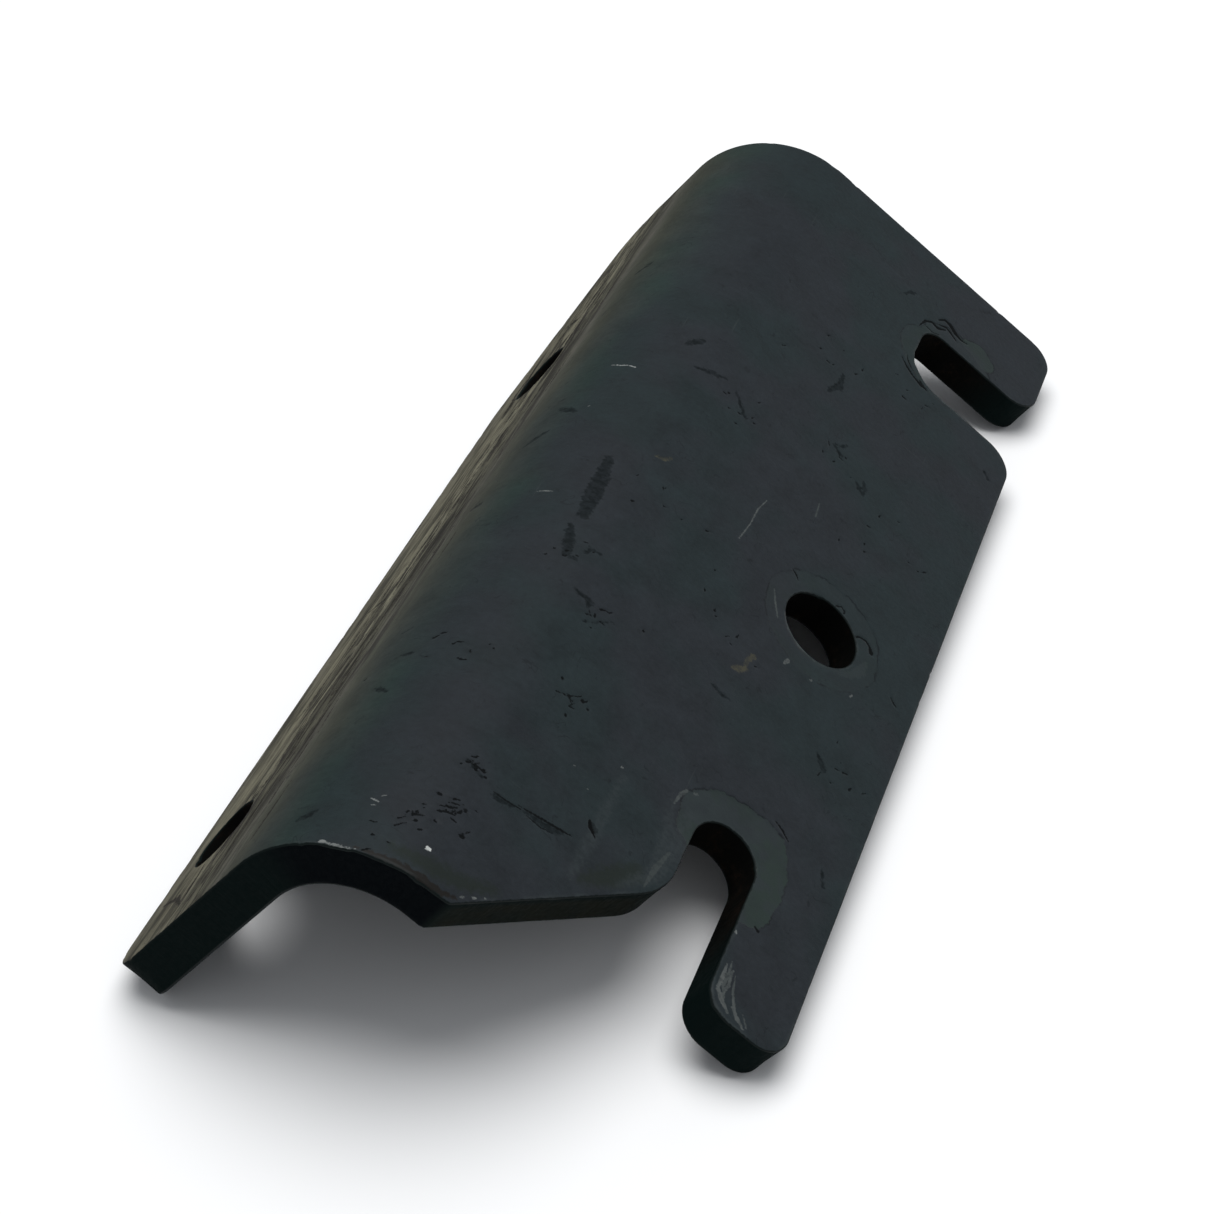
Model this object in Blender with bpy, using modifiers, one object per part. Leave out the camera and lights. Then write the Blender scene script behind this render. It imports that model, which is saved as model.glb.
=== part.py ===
"""Bent steel plate bracket with two open bolt slots and three bolt holes.

The bracket is one piece of plate. Its blank is a flat outline with holes, folded once over a
large inside radius. It lies on a surface with the fold uppermost, resting on the outer edge of
the main flange and on the free edge of the side flange. Lengths are in metres, +Z is up, and
+Y runs along the fold.

Blank coordinates: u runs across the fold, with the main flange at u >= 0, the folded strip
below 0 and the side flange beyond it; y runs along the fold; z = 0 is the outer face.
"""
import math

import bmesh
import bpy
from mathutils import Vector

# ---- driving dimensions ------------------------------------------------------------------
THICKNESS = 0.010          # plate
LENGTH = 0.302             # along the fold
MAIN_WIDTH = 0.077         # flat part of the main flange
SIDE_WIDTH = 0.0490        # flat part of the side flange
INSIDE_RADIUS = 0.019      # of the fold
FOLD_ANGLE = math.radians(88.0)
FOLD_STEPS = 14            # flat strips that make the fold
EDGE_BEVEL = 0.0007        # broken edges all round
ARC_STEP = math.radians(15.0)

HOLE_SEGMENTS = 40
MAIN_HOLE = (0.048, 0.139)         # u, y on the main flange
MAIN_HOLE_RADIUS = 0.010
SIDE_HOLE_RADIUS = 0.00875
LOWER_SIDE_HOLE = (0.032, 0.0335)  # distance down the side flange, y
UPPER_SIDE_HOLE = (0.028, 0.220)

LOWER_SLOT_LEFT = 0.041            # open towards -y
LOWER_SLOT_WIDTH = 0.016
LOWER_SLOT_TOP = 0.0668
PRONG_END = 0.022                  # the prong beside the lower slot stops short of y = 0
CHAMFER_START = 0.0037             # where the long chamfer leaves the bottom edge
CHAMFER_ANGLE = math.radians(46.7)

UPPER_SLOT_END = 0.0403            # open towards +u
UPPER_SLOT_LOW = 0.248
UPPER_SLOT_HIGH = 0.271

SIDE_TAPER_Y = 0.222               # the side flange narrows above this height
SIDE_TAPER_WIDTH = 0.0296          # its flat width at y = LENGTH

# ---- worked out from them ----------------------------------------------------------------
OUTSIDE_RADIUS = INSIDE_RADIUS + THICKNESS
NEUTRAL_RADIUS = INSIDE_RADIUS + THICKNESS / 2.0
FOLD_LENGTH = NEUTRAL_RADIUS * FOLD_ANGLE
LOWER_SLOT_RIGHT = LOWER_SLOT_LEFT + LOWER_SLOT_WIDTH
CHAMFER_END = (LOWER_SLOT_LEFT - CHAMFER_START) * math.tan(CHAMFER_ANGLE)


def side(distance):
    """Blank u of a point that lies `distance` down the side flange."""
    return -FOLD_LENGTH - distance


# Corners of the blank, anticlockwise: u, y, corner radius.
BLANK_CORNERS = [
    (side(SIDE_WIDTH), 0.0, 0.009),
    (CHAMFER_START, 0.0, 0.0015),
    (LOWER_SLOT_LEFT, CHAMFER_END, 0.017),
    (LOWER_SLOT_LEFT, LOWER_SLOT_TOP, LOWER_SLOT_WIDTH / 2.0),
    (LOWER_SLOT_RIGHT, LOWER_SLOT_TOP, LOWER_SLOT_WIDTH / 2.0),
    (LOWER_SLOT_RIGHT, PRONG_END, 0.007),
    (MAIN_WIDTH, PRONG_END, 0.007),
    (MAIN_WIDTH, UPPER_SLOT_LOW, 0.0085),
    (UPPER_SLOT_END, UPPER_SLOT_LOW, 0.0105),
    (UPPER_SLOT_END, UPPER_SLOT_HIGH, 0.006),
    (MAIN_WIDTH, UPPER_SLOT_HIGH, 0.0085),
    (MAIN_WIDTH, LENGTH, 0.0075),
    (side(SIDE_TAPER_WIDTH), LENGTH, 0.016),
    (side(SIDE_WIDTH), SIDE_TAPER_Y, 0.025),
]


def rounded_outline(corners):
    """Points of a closed outline whose corners are replaced by tangent arcs."""
    points = []
    for index, (u, y, radius) in enumerate(corners):
        corner = Vector((u, y))
        to_previous = (Vector(corners[index - 1][:2]) - corner).normalized()
        to_next = (Vector(corners[(index + 1) % len(corners)][:2]) - corner).normalized()
        half = to_previous.angle(to_next) / 2.0
        centre = corner + (to_previous + to_next).normalized() * (radius / math.sin(half))
        start = corner + to_previous * (radius / math.tan(half)) - centre
        sweep = math.pi - 2.0 * half
        if to_previous.cross(to_next) > 0.0:
            sweep = -sweep
        steps = max(2, round(abs(sweep) / ARC_STEP))
        for step in range(steps + 1):
            angle = sweep * step / steps
            turned = Vector((
                start.x * math.cos(angle) - start.y * math.sin(angle),
                start.x * math.sin(angle) + start.y * math.cos(angle),
            ))
            points.append(centre + turned)
    return points


def circle_outline(centre, radius):
    """Points of a round hole, clockwise."""
    points = []
    for step in range(HOLE_SEGMENTS):
        angle = -2.0 * math.pi * step / HOLE_SEGMENTS
        points.append(Vector(centre) + Vector((math.cos(angle), math.sin(angle))) * radius)
    return points


def clear_scene():
    for obj in list(bpy.data.objects):
        bpy.data.objects.remove(obj, do_unlink=True)


def new_collection(name):
    collection = bpy.data.collections.new(name)
    bpy.context.scene.collection.children.link(collection)
    return collection


def painted_steel():
    """Worn dark grey-green paint over steel."""
    material = bpy.data.materials.new("dark_paint")
    material.use_nodes = True
    shader = material.node_tree.nodes["Principled BSDF"]
    shader.inputs["Base Color"].default_value = (0.028, 0.034, 0.037, 1.0)
    shader.inputs["Roughness"].default_value = 0.45
    shader.inputs["Metallic"].default_value = 0.0
    return material


def make_blank(collection):
    """Flat plate with its outline and holes, as a mesh whose outer face is z = 0."""
    curve = bpy.data.curves.new("blank_outline", "CURVE")
    curve.dimensions = "2D"
    curve.fill_mode = "BOTH"
    curve.extrude = THICKNESS / 2.0
    outlines = [rounded_outline(BLANK_CORNERS), circle_outline(MAIN_HOLE, MAIN_HOLE_RADIUS)]
    for distance, y in (LOWER_SIDE_HOLE, UPPER_SIDE_HOLE):
        outlines.append(circle_outline((side(distance), y), SIDE_HOLE_RADIUS))
    for outline in outlines:
        spline = curve.splines.new("POLY")
        spline.points.add(len(outline) - 1)
        for point, place in zip(spline.points, outline):
            point.co = (place.x, place.y, 0.0, 1.0)
        spline.use_cyclic_u = True

    guide = bpy.data.objects.new("blank_outline", curve)
    collection.objects.link(guide)
    depsgraph = bpy.context.evaluated_depsgraph_get()
    mesh = bpy.data.meshes.new_from_object(guide.evaluated_get(depsgraph))
    mesh.name = "bent_plate"
    plate = bpy.data.objects.new("bent_plate", mesh)
    plate.matrix_world = guide.matrix_world
    collection.objects.link(plate)
    bpy.data.objects.remove(guide, do_unlink=True)

    bm = bmesh.new()
    bm.from_mesh(mesh)
    bmesh.ops.remove_doubles(bm, verts=bm.verts, dist=1e-6)
    bmesh.ops.dissolve_limit(bm, angle_limit=0.001, verts=bm.verts, edges=bm.edges)
    bmesh.ops.translate(bm, verts=bm.verts, vec=(0.0, 0.0, -THICKNESS / 2.0))
    bmesh.ops.recalc_face_normals(bm, faces=bm.faces)
    bm.to_mesh(mesh)
    bm.free()
    return plate


def cut_fold_lines(plate):
    """Lay edges across the strip that will be folded."""
    bm = bmesh.new()
    bm.from_mesh(plate.data)
    for step in range(FOLD_STEPS + 1):
        line = -FOLD_LENGTH * step / FOLD_STEPS
        geometry = bm.verts[:] + bm.edges[:] + bm.faces[:]
        bmesh.ops.bisect_plane(
            bm, geom=geometry, dist=1e-7, plane_co=(line, 0.0, 0.0), plane_no=(1.0, 0.0, 0.0)
        )
    bm.to_mesh(plate.data)
    bm.free()


def folded(u, y, z):
    """Where a point of the blank lies once the plate is folded."""
    if u >= 0.0:
        return Vector((u, y, z))
    angle = min(-u / NEUTRAL_RADIUS, FOLD_ANGLE)
    beyond = max(-u - FOLD_LENGTH, 0.0)
    radius = OUTSIDE_RADIUS + z
    across = -radius * math.sin(angle) - beyond * math.cos(angle)
    height = radius * math.cos(angle) - OUTSIDE_RADIUS - beyond * math.sin(angle)
    return Vector((across, y, height))


def fold(plate):
    for vertex in plate.data.vertices:
        vertex.co = folded(*vertex.co)
    plate.data.update()


def break_edges(plate):
    """Small bevel on every edge between a face of the plate and its cut edge."""
    bevel = plate.modifiers.new("broken_edges", "BEVEL")
    bevel.width = EDGE_BEVEL
    bevel.segments = 1
    bevel.limit_method = "ANGLE"
    bevel.angle_limit = math.radians(50.0)


def lay_down(plate):
    """Turn the plate so that both resting edges are level, then stand it centred at z = 0."""
    outer_edge = folded(MAIN_WIDTH, 0.0, -THICKNESS)
    free_edge = folded(side(SIDE_WIDTH), 0.0, -THICKNESS)
    run = outer_edge - free_edge
    plate.rotation_euler = (0.0, math.atan2(run.z, run.x), 0.0)
    bpy.context.view_layer.update()
    evaluated = plate.evaluated_get(bpy.context.evaluated_depsgraph_get())
    places = [evaluated.matrix_world @ vertex.co for vertex in evaluated.data.vertices]
    xs = [place.x for place in places]
    zs = [place.z for place in places]
    plate.location = (-(min(xs) + max(xs)) / 2.0, -LENGTH / 2.0, -min(zs))


def main():
    clear_scene()
    parts = new_collection("bent_plate_bracket")
    plate = make_blank(parts)
    cut_fold_lines(plate)
    fold(plate)
    plate.data.materials.append(painted_steel())
    plate.data.shade_smooth()
    plate.data.set_sharp_from_angle(angle=math.radians(30.0))
    break_edges(plate)
    lay_down(plate)


main()
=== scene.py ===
"""Looks of the bent plate mounting bracket.

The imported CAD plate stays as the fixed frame. A finely meshed plate of the same size stands for it:
the same flat blank, folded by the same formula, with rounded and worn edges, washer prints, gouges,
pits and chips as geometry, and a worn dark paint made of shader nodes.

Blank coordinates are in millimetres: u runs across the fold (main flange at u >= 0, then the folded
strip, then the side flange), y runs along it, and z is 0 on the outer face and -THICKNESS on the inner.
"""
import math

import bpy
import numpy as np
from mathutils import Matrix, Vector
from mathutils.geometry import delaunay_2d_cdt
from mathutils.kdtree import KDTree


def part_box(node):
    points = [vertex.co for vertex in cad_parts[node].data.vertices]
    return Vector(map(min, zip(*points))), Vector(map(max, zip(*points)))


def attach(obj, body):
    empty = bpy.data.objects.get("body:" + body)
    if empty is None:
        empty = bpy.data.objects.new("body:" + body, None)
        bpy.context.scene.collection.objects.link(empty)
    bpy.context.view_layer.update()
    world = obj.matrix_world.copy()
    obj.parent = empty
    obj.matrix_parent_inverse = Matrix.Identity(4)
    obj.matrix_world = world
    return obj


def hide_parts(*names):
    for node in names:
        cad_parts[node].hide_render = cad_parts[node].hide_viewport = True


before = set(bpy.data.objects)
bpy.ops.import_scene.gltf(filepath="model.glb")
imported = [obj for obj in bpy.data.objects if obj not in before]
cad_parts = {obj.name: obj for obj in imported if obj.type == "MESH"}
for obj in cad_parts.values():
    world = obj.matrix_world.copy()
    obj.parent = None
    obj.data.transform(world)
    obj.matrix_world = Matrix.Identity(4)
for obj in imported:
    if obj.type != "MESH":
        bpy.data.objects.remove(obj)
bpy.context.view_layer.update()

MM = 0.001
PLATE_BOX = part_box("bent_plate")

# ---- the plate, in millimetres ----
THICKNESS = 10.0
LENGTH = 302.0
MAIN_WIDTH = 77.0
SIDE_WIDTH = 49.0
INSIDE_RADIUS = 19.0
FOLD_ANGLE = math.radians(88.0)
OUTSIDE_RADIUS = INSIDE_RADIUS + THICKNESS
NEUTRAL_RADIUS = INSIDE_RADIUS + THICKNESS / 2.0
FOLD_LENGTH = NEUTRAL_RADIUS * FOLD_ANGLE

SLOT_LEFT = 41.0
SLOT_WIDTH = 16.0
SLOT_RIGHT = SLOT_LEFT + SLOT_WIDTH
SLOT_TOP = 66.8
PRONG_END = 22.0
CHAMFER_START = 3.7
CHAMFER_END = (SLOT_LEFT - CHAMFER_START) * math.tan(math.radians(46.7))
UPPER_SLOT_END = 40.3
UPPER_SLOT_LOW = 248.0
UPPER_SLOT_HIGH = 271.0
SIDE_TAPER_Y = 222.0
SIDE_TAPER_WIDTH = 29.6


def side(distance):
    """Blank u of a point that lies `distance` down the side flange."""
    return -FOLD_LENGTH - distance


# Corners of the blank, anticlockwise: u, y, corner radius.
BLANK_CORNERS = [
    (side(SIDE_WIDTH), 0.0, 9.0),
    (CHAMFER_START, 0.0, 1.5),
    (SLOT_LEFT, CHAMFER_END, 17.0),
    (SLOT_LEFT, SLOT_TOP, SLOT_WIDTH / 2.0),
    (SLOT_RIGHT, SLOT_TOP, SLOT_WIDTH / 2.0),
    (SLOT_RIGHT, PRONG_END, 7.0),
    (MAIN_WIDTH, PRONG_END, 7.0),
    (MAIN_WIDTH, UPPER_SLOT_LOW, 8.5),
    (UPPER_SLOT_END, UPPER_SLOT_LOW, 10.5),
    (UPPER_SLOT_END, UPPER_SLOT_HIGH, 6.0),
    (MAIN_WIDTH, UPPER_SLOT_HIGH, 8.5),
    (MAIN_WIDTH, LENGTH, 7.5),
    (side(SIDE_TAPER_WIDTH), LENGTH, 16.0),
    (side(SIDE_WIDTH), SIDE_TAPER_Y, 25.0),
]
MAIN_HOLE = (48.0, 139.0, 10.0)  # u, y, radius
HOLES = [MAIN_HOLE, (side(32.0), 33.5, 8.75), (side(28.0), 220.0, 8.75)]

# ---- how finely the plate is meshed, in millimetres ----
HOLE_CORNERS = 96  # of each hole's circle, before its edge is divided evenly
EDGE_STEP = 1.0  # along the edges
OUTER_STEP = 1.2  # on the outer face
INNER_STEP = 2.6  # on the inner face
MARK_STEP = 0.4  # in and about each mark
LONG_STEP = 1.2  # along the longest marks
MARK_GAP = 0.7 * MARK_STEP  # between kept points of marks that meet
MARK_OFFSETS = [(0.0, 0.0), (0.55, 0.0), (1.0, 0.0), (1.0, 0.3), (1.0, 0.8)]  # half widths, plus mm
PIT_RINGS = (0.0, 0.35, 0.7, 1.0, 1.5)  # in radii of the pit
PIT_STEP = 0.3  # round each of them
RIM_REACH = (2.4, 1.0)  # how far within and beyond a washer print's rim its rings go
RIM_STEP = 0.55  # from ring to ring
RIM_SPACING = 0.6  # round each ring
OUTER_CLEARANCE = 1.1  # from the rounded edge to the outer face's grid
MARK_CLEARANCE = 0.3  # to the points of marks
INNER_CLEARANCE = 1.5  # to the inner face's grid
WALL_ROWS = 8
ROUND_ROWS = 4

# ---- how the plate is worn, in millimetres ----
OUTER_ROUND = (0.22, 0.5)  # least and greatest radius of the outer edge
EDGE_CHIP = 0.4  # how much further the edge is rounded where it is chipped
WORN_CORNERS = [(-4.0, 0.0, 9.0, 0.5), (59.0, 27.0, 7.0, 0.7)]  # u, y, reach, extra rounding
INNER_ROUND = 0.6
WALL_WAVER = (0.1, 0.06)  # how far in the cut wall bows at mid height, and how much that varies
WEAR_DEPTH = 0.06  # middle depth of the outer face's slow waves
WEAR_WAVES = [(46.0, 0.035, 1), (11.0, 0.015, 2)]  # size, height and seed
WEAR_FADE = (0.3, 2.0)  # down the wall, wear fades from this far in, over this far
INNER_SWELL = (0.03, 0.03, 38.0, 9)  # the inner face: middle height, variation, size and seed
PIT_DEPTH = 0.16
FAR_OUTSIDE = -3.0  # a mark's field this far from it and beyond
SCUFF_MIDDLE = side(22.0)  # the scuffed band along the side flange
SCUFF_WIDTH = 8.0
SCUFF_DEPTH = 0.1
BORE_REACH = 0.8  # how far past a hole's wall its brown goes
LOWER_FADE = (8.0, 22.0)  # a slot's brown fades in from this far past its mouth, over this far
UPPER_FADE = (6.0, 16.0)

# ---- marks on the outer face, in millimetres ----
# Each is a line of points (u, y, half width) and the depth it is cut. Near-black ones first.
GOUGES = [
    ([(0.4, 30.6, 0.12), (3.6, 30.9, 0.2), (6.8, 31.5, 0.1)], 0.1),
    ([(6.2, 32, 0.12), (11, 33.1, 0.26), (15.6, 34.1, 0.3), (18.6, 34.8, 0.08)], 0.12),
    ([(8.4, 31.2, 0.1), (11.9, 31.1, 0.2), (14.8, 31.9, 0.1)], 0.08),
    ([(20.2, 41.6, 0.3), (21, 40.2, 0.6), (22.8, 38.7, 0.15)], 0.22),
    ([(38.1, 268.6, 0.1), (39.2, 272.6, 0.42), (40.9, 274.2, 0.3), (43.1, 273.9, 0.55),
      (45.3, 275.8, 0.2)], 0.22),
    ([(42.4, 277.4, 0.2), (44, 279.5, 0.42), (46, 279.3, 0.75), (48.3, 277.8, 0.68),
      (50.6, 277.2, 0.32), (52.6, 277.8, 0.12)], 0.24),
    ([(43, 275.6, 0.12), (45.2, 277, 0.36), (47, 276.4, 0.42), (49.4, 275, 0.18)], 0.16),
    ([(39, 270.9, 0.1), (42.3, 270.4, 0.22), (44.3, 271.7, 0.1)], 0.1),
    ([(37.6, 251, 0.12), (40, 248.9, 0.4), (42.2, 247.6, 0.28), (45.6, 246.4, 0.45)], 0.2),
    ([(38.6, 253.4, 0.1), (39.6, 251.4, 0.26), (41.8, 249.4, 0.14)], 0.12),
    ([(44.6, 248, 0.2), (45.8, 247, 0.6), (47.4, 246.4, 0.2)], 0.2),
    ([(55.9, 145, 0.25), (57, 146.4, 0.3), (58.8, 146.9, 0.26), (60.3, 146.2, 0.3)], 0.18),
    ([(60.4, 146, 0.3), (61.3, 144.7, 0.75)], 0.22),
    ([(48.8, 149.6, 0.2), (50.2, 150.8, 0.2), (51.4, 150.2, 0.25), (51.3, 148.6, 0.15)], 0.12),
    ([(35.7, 149.5, 0.1), (36.9, 149, 0.26), (38, 147.6, 0.1)], 0.1),
    ([(56.2, 77.6, 0.15), (58.2, 76.8, 0.3), (60.5, 75.2, 0.15)], 0.18),
    ([(69.8, 136.5, 0.1), (70.8, 135.5, 0.28), (72, 134.8, 0.1)], 0.1),
    ([(-75, 119.8, 0.2), (-70.5, 119, 0.6), (-66.5, 117.4, 0.2)], 0.15),
    ([(-67.8, 247.3, 0.3), (-64.5, 246.9, 0.6), (-61.2, 245.8, 0.2)], 0.15),
    ([(-73.5, 76, 0.3), (-72.4, 79.4, 0.5)], 0.12),
    ([(-74.5, 210, 0.2), (-73, 220.5, 0.8), (-74.8, 233, 0.6), (-76, 243, 0.2)], 0.2),
    ([(61, 48.4, 0.2), (61.9, 47.8, 0.45)], 0.1),
    ([(52.2, 248.9, 0.4), (53.2, 248.6, 0.8), (54.4, 248.4, 0.4)], 0.25),
]
# Shallow smears a little darker than the paint.
SMEARS = [
    ([(-11.6, 141.2, 0.7), (-10.9, 134, 1.5), (-10.6, 126, 1.7), (-10.2, 117.6, 1.1)], 0.07),
    ([(-11.1, 113.6, 0.5), (-10, 108, 1.2), (-9.2, 103.2, 0.8), (-7.2, 103, 0.4)], 0.06),
    ([(1.2, 29.8, 0.9), (4, 30.3, 0.55), (6.6, 31.2, 0.15)], 0.05),
    ([(7.4, 31.6, 0.3), (11.4, 32.1, 0.8), (15, 32.9, 0.95), (17.2, 34.2, 0.2)], 0.06),
    ([(20.8, 41, 0.8), (22, 40.2, 0.9)], 0.05),
    ([(-6.4, 106.3, 0.3), (-5.8, 108.6, 0.45), (-4, 108.5, 0.3)], 0.05),
    ([(30.6, 276, 0.3), (32.2, 278.6, 0.6), (33.7, 279.9, 0.3)], 0.05),
    ([(31.7, 200.1, 0.3), (33.5, 200.9, 0.45), (34.7, 202.9, 0.3)], 0.05),
    ([(42.4, 195.6, 0.3), (43.2, 193.6, 0.7), (43.6, 191.2, 0.4)], 0.05),
    ([(-26.8, 7.4, 0.3), (-25.2, 8.4, 0.9), (-23.6, 10.2, 0.3)], 0.05),
    ([(-38.4, 127.2, 0.4), (-34.3, 125.4, 0.8)], 0.08),
    ([(-9.9, 194.6, 0.6), (-8.6, 197, 1.1), (-7.4, 199, 0.4)], 0.04),
    ([(-6.2, 187.2, 0.3), (-3, 188.6, 0.8), (0.4, 190.6, 0.3)], 0.04),
    ([(-0.8, 87, 0.12), (5.1, 93.5, 0.22)], 0.05),
    ([(-28.4, 50.8, 0.3), (-26.8, 49.8, 0.7), (-25.4, 48.6, 0.3)], 0.05),
    ([(-27.9, 162, 0.4), (-25.4, 160, 1), (-23, 158.6, 0.4)], 0.04),
    ([(-31.6, 147.4, 0.4), (-29, 149.6, 0.9), (-27.2, 151.2, 0.4)], 0.04),
    ([(30.4, 98.8, 0.3), (33, 98.2, 0.6), (35.4, 98.4, 0.2)], 0.05),
    ([(40.6, 193.6, 0.4), (42, 192.2, 0.8), (43.4, 191.2, 0.4)], 0.05),
    ([(31.4, 199.4, 0.3), (34, 198, 0.7)], 0.04),
    ([(70.4, 235.4, 0.3), (72.1, 233.6, 0.6)], 0.06),
    ([(-4.4, 94.4, 0.4), (-1.4, 93.6, 0.9), (-1.2, 91.8, 0.3)], 0.05),
    ([(4, 188.8, 0.4), (8.8, 183.4, 0.6)], 0.04),
    ([(69.8, 75, 0.3), (71.5, 71, 0.5)], 0.04),
    ([(-27.2, 62, 0.3), (-25.4, 62.1, 0.6)], 0.04),
    ([(-32.6, 233.4, 0.4), (-29.2, 235.8, 0.9)], 0.03),
    ([(-5.6, 33.8, 0.3), (-4.4, 33, 0.5), (-2.6, 31.6, 0.4)], 0.05),
    ([(58.6, 104, 0.4), (61.4, 101, 0.9)], 0.03),
    ([(24, 216, 0.5), (26.2, 221, 1.1), (25.6, 226, 0.4)], 0.03),
]
# Pits: u, y, radius.
PITS = [
    (-6.9, 22, 0.45), (-4.8, 20.1, 0.35), (-0.5, 15.7, 0.55), (-2, 21.5, 0.3), (-5.3, 15.1, 0.35),
    (1.3, 69.1, 0.4), (3.3, 65.7, 0.3), (7.3, 67.6, 0.5), (9.1, 66.7, 0.35), (5.6, 61, 0.4),
    (-3.9, 32.6, 0.4), (-2.7, 33.4, 0.5), (11.6, 97.6, 0.35), (-33.8, 57.6, 0.4),
]
# Clusters of small dark specks: u, y, radius, how many.
SPECKLED = [
    (-4, 19, 5.5, 22), (-8, 14.5, 5, 9), (4.4, 66, 4.2, 10), (-4, 33.4, 3, 9),
    (0.4, 90.4, 8, 7), (-9, 104, 6, 8), (6, 186, 8, 8), (34, 197, 6, 7),
    (66, 104, 9, 8), (-13, 5.5, 5, 6), (44, 238, 9, 6), (20, 225, 14, 8),
    (26, 118, 16, 8), (-16, 64, 12, 10), (56, 180, 18, 9), (2, 136, 12, 7),
]
SPECK_HEADING = 45.0  # degrees
SCRAPE_COUNT = 75  # random scrapes along the side flange
SEED = 11
# Chipped, scratched and rubbed places: the line, the depth, and how near they are to bare metal. The last,
# along the main hole's lower-left rim, is a painted highlight.
WORN_AND_HIGHLIGHT = [
    ([(-4.2, 8, 0.52), (-4, 8.1, 0.52)], 0.14, 0.8),
    ([(-16.1, 14.7, 0.1), (-14.8, 14.2, 0.26)], 0.06, 0.2),
    ([(-14.7, 15.9, 0.1), (-14.2, 16.3, 0.22)], 0.06, 0.12),
    ([(-15.4, 12.9, 0.12), (-14.9, 13, 0.15)], 0.04, 0.16),
    ([(12.1, 51, 0.16), (12.3, 51.1, 0.16)], 0.05, 0.1),
    ([(21, 59.7, 0.26), (21.3, 59.8, 0.2)], 0.06, 0.2),
    ([(16.8, 48.1, 0.14), (16.9, 48.2, 0.14)], 0.04, 0.06),
    ([(-21.8, 180, 0.08), (-19.8, 179.7, 0.24), (-18.6, 179.9, 0.12), (-16.7, 179.3, 0.2)], 0.05, 0.34),
    ([(-20.6, 123.5, 0.08), (-19, 123.8, 0.22), (-17.7, 123.9, 0.1)], 0.05, 0.14),
    ([(-21.3, 160.7, 0.18), (-21.1, 160.8, 0.16)], 0.04, 0.12),
    ([(35.5, 135.3, 0.24), (35.7, 135.1, 0.2)], 0.05, 0.12),
    ([(-19.8, 0.9, 0.5), (-19.2, 0.8, 0.4)], 0.14, 0.26),
    ([(-18.6, 0.4, 0.15), (-17.2, 0.4, 0.26), (-15.6, 0.4, 0.2), (-13.6, 0.5, 0.1)], 0.1, 0.26),
    ([(4.9, 3.2, 0.26), (5.3, 3.6, 0.3)], 0.12, 0.14),
    ([(7, 5, 0.3), (7.5, 5.4, 0.26)], 0.12, 0.2),
    ([(9.1, 6.8, 0.2), (9.4, 7, 0.22)], 0.12, 0.12),
    ([(57.2, 43.8, 0.4), (57.8, 43.4, 0.3)], 0.12, 0.2),
    ([(60.6, 126.8, 0.24), (61, 127.8, 0.2)], 0.05, 0.18),
    ([(22.8, 163.4, 0.1), (21.8, 158.5, 0.2), (21.8, 152.3, 0.14), (21, 145.2, 0.18)], 0.05, 0.06),
    ([(33.7, 139.4, 0.15), (35.4, 135.6, 0.3), (37.4, 131.8, 0.15)], 0.03, 0.02),
    ([(34.6, 176.6, 0.15), (35.1, 171.4, 0.25)], 0.03, 0.01),
    ([(43.2, 120.6, 0.3), (43.8, 122.2, 0.6)], 0.05, 0.07),
    ([(50.4, 122, 0.32), (50.7, 122.3, 0.3)], 0.05, 0.07),
    ([(34.3, 61.4, 0.2), (34.8, 65, 0.45), (35.7, 67, 0.4)], 0.06, 0.03),
    ([(37.5, 67.9, 0.3), (38.1, 68.4, 0.35)], 0.06, 0.05),
    ([(36.2, 36.8, 0.2), (36.6, 42.5, 0.7), (38, 49.2, 0.3)], 0.05, 0),
    ([(58.6, 34.8, 0.15), (58.8, 31, 0.55), (58.6, 27.4, 0.25)], 0.08, 0.08),
    ([(60.4, 34.4, 0.1), (60.6, 30.4, 0.4), (60.2, 26.6, 0.2)], 0.06, 0.05),
    ([(58.6, 28.2, 0.3), (60.2, 26.2, 0.7), (62.6, 24.2, 0.3)], 0.08, 0.07),
    ([(61.6, 30.4, 0.1), (63.2, 27, 0.4), (64.8, 24, 0.2)], 0.06, 0.06),
    ([(63, 26.2, 0.2), (65, 24.6, 0.5), (67, 23.2, 0.2)], 0.08, 0.06),
    ([(59.4, 36.2, 0.1), (59.8, 32.6, 0.4), (59.6, 29, 0.3), (61, 26.6, 0.15)], 0.06, 0.03),
    ([(61.2, 33.6, 0.1), (62, 29.6, 0.3), (63.8, 26.4, 0.15)], 0.06, 0.02),
    ([(65.8, 26.4, 0.1), (67.4, 24.2, 0.25)], 0.06, 0.02),
    # Painted highlight: a pale arc along the main hole's lower-left rim, where the rounded rim catches the
    # light.
    ([(49.6, 128.3, 0.1), (44.6, 128.9, 0.3), (40.6, 131.4, 0.25), (38, 135.6, 0.1)], 0.03, 0.03),
]
# Khaki, where the paint is thin.
STAINS = [
    ([(32.8, 107.6, 0.4), (34.2, 108.6, 1), (35.8, 110.4, 0.6)], 0.05),
    ([(35.6, 110.4, 0.5), (35.2, 112.8, 0.5), (36.2, 115.4, 0.8)], 0.05),
    ([(-4.2, 149, 0.25), (-2.6, 149.6, 0.5), (-1.4, 151.6, 0.25)], 0.06),
    ([(-76.2, 21, 0.5), (-75.2, 23, 0.8)], 0.05),
]
# Soft-edged paler streaks.
HAZES = [
    ([(22.5, 58.2, 0.5), (22.1, 46.4, 1.1), (22.1, 37, 1.3), (21.7, 25.8, 0.8)], 0.02),
    ([(33.8, 62.8, 0.4), (34.6, 58, 0.8), (36.4, 52, 1.8), (37.6, 45.6, 2.4), (37, 40.6, 1.8)], 0.02),
    ([(38.6, 62, 1.2), (38.2, 54, 2), (38.8, 47, 1.6)], 0.02),
    ([(31, 32.4, 0.4), (34.6, 37.4, 1.4), (37.6, 42.6, 1.4)], 0.02),
]
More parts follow.
